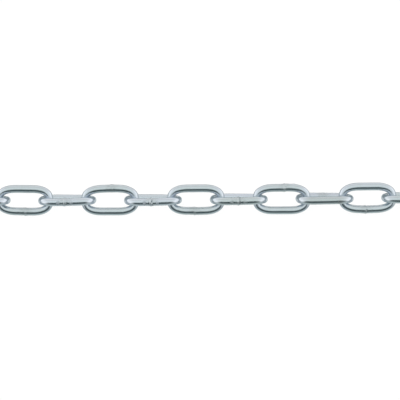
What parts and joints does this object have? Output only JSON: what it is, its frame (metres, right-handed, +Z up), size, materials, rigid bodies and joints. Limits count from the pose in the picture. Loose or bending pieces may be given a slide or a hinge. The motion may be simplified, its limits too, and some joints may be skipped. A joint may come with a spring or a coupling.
{
  "type": "welded steel chain",
  "caption": "Straight length of zinc-plated steel chain: equal welded oval links of round wire, each hinged to the next at a quarter turn, lying on the ground.",
  "frame": {"origin": "middle of the chain's length and width, on the ground it lies on", "axes": "+X along the chain from link_01 to the last link, +Z up; odd links lean back (top towards +Y), even links lean forward (top towards -Y)"},
  "size_m": [0.609, 0.0158, 0.0159],
  "materials": {
    "zinc_plated_steel": "bright zinc plate over drawn steel wire, smooth and glossy, with a dull rough weld on one side of each link"
  },
  "bodies": {
    "link_01": {"link_01": "zinc_plated_steel"},
    "link_02": {"link_02": "zinc_plated_steel"},
    "link_03": {"link_03": "zinc_plated_steel"},
    "link_04": {"link_04": "zinc_plated_steel"},
    "link_05": {"link_05": "zinc_plated_steel"},
    "link_06": {"link_06": "zinc_plated_steel"},
    "link_07": {"link_07": "zinc_plated_steel"},
    "link_08": {"link_08": "zinc_plated_steel"},
    "link_09": {"link_09": "zinc_plated_steel"},
    "link_10": {"link_10": "zinc_plated_steel"},
    "link_11": {"link_11": "zinc_plated_steel"},
    "link_12": {"link_12": "zinc_plated_steel"},
    "link_13": {"link_13": "zinc_plated_steel"},
    "link_14": {"link_14": "zinc_plated_steel"},
    "link_15": {"link_15": "zinc_plated_steel"},
    "link_16": {"link_16": "zinc_plated_steel"},
    "link_17": {"link_17": "zinc_plated_steel"},
    "link_18": {"link_18": "zinc_plated_steel"},
    "link_19": {"link_19": "zinc_plated_steel"},
    "link_20": {"link_20": "zinc_plated_steel"},
    "link_21": {"link_21": "zinc_plated_steel"}
  },
  "joints": [
    {"name": "swing_02", "type": "hinge", "parent": "link_01", "child": "link_02", "pos_m": [-0.268, 0, 0.00794], "axis": [0, -0.7071, -0.7071], "range_deg": [-90, 90]},
    {"name": "swing_03", "type": "hinge", "parent": "link_02", "child": "link_03", "pos_m": [-0.2395, 0, 0.00794], "axis": [0, 0.7071, -0.7071], "range_deg": [-90, 90]},
    {"name": "swing_04", "type": "hinge", "parent": "link_03", "child": "link_04", "pos_m": [-0.211, 0, 0.00794], "axis": [0, 0.7071, 0.7071], "range_deg": [-90, 90]},
    {"name": "swing_05", "type": "hinge", "parent": "link_04", "child": "link_05", "pos_m": [-0.1825, 0, 0.00794], "axis": [0, -0.7071, 0.7071], "range_deg": [-90, 90]},
    {"name": "swing_06", "type": "hinge", "parent": "link_05", "child": "link_06", "pos_m": [-0.154, 0, 0.00794], "axis": [0, -0.7071, -0.7071], "range_deg": [-90, 90]},
    {"name": "swing_07", "type": "hinge", "parent": "link_06", "child": "link_07", "pos_m": [-0.1255, 0, 0.00794], "axis": [0, 0.7071, -0.7071], "range_deg": [-90, 90]},
    {"name": "swing_08", "type": "hinge", "parent": "link_07", "child": "link_08", "pos_m": [-0.097, 0, 0.00794], "axis": [0, 0.7071, 0.7071], "range_deg": [-90, 90]},
    {"name": "swing_09", "type": "hinge", "parent": "link_08", "child": "link_09", "pos_m": [-0.0685, 0, 0.00794], "axis": [0, -0.7071, 0.7071], "range_deg": [-90, 90]},
    {"name": "swing_10", "type": "hinge", "parent": "link_09", "child": "link_10", "pos_m": [-0.04, 0, 0.00794], "axis": [0, -0.7071, -0.7071], "range_deg": [-90, 90]},
    {"name": "swing_11", "type": "hinge", "parent": "link_10", "child": "link_11", "pos_m": [-0.0115, 0, 0.00794], "axis": [0, 0.7071, -0.7071], "range_deg": [-90, 90]},
    {"name": "swing_12", "type": "hinge", "parent": "link_11", "child": "link_12", "pos_m": [0.017, 0, 0.00794], "axis": [0, 0.7071, 0.7071], "range_deg": [-90, 90]},
    {"name": "swing_13", "type": "hinge", "parent": "link_12", "child": "link_13", "pos_m": [0.0455, 0, 0.00794], "axis": [0, -0.7071, 0.7071], "range_deg": [-90, 90]},
    {"name": "swing_14", "type": "hinge", "parent": "link_13", "child": "link_14", "pos_m": [0.074, 0, 0.00794], "axis": [0, -0.7071, -0.7071], "range_deg": [-90, 90]},
    {"name": "swing_15", "type": "hinge", "parent": "link_14", "child": "link_15", "pos_m": [0.1025, 0, 0.00794], "axis": [0, 0.7071, -0.7071], "range_deg": [-90, 90]},
    {"name": "swing_16", "type": "hinge", "parent": "link_15", "child": "link_16", "pos_m": [0.131, 0, 0.00794], "axis": [0, 0.7071, 0.7071], "range_deg": [-90, 90]},
    {"name": "swing_17", "type": "hinge", "parent": "link_16", "child": "link_17", "pos_m": [0.1595, 0, 0.00794], "axis": [0, -0.7071, 0.7071], "range_deg": [-90, 90]},
    {"name": "swing_18", "type": "hinge", "parent": "link_17", "child": "link_18", "pos_m": [0.188, 0, 0.00794], "axis": [0, -0.7071, -0.7071], "range_deg": [-90, 90]},
    {"name": "swing_19", "type": "hinge", "parent": "link_18", "child": "link_19", "pos_m": [0.2165, 0, 0.00794], "axis": [0, 0.7071, -0.7071], "range_deg": [-90, 90]},
    {"name": "swing_20", "type": "hinge", "parent": "link_19", "child": "link_20", "pos_m": [0.245, 0, 0.00794], "axis": [0, 0.7071, 0.7071], "range_deg": [-90, 90]},
    {"name": "swing_21", "type": "hinge", "parent": "link_20", "child": "link_21", "pos_m": [0.2735, 0, 0.00794], "axis": [0, -0.7071, 0.7071], "range_deg": [-90, 90]}
  ]
}
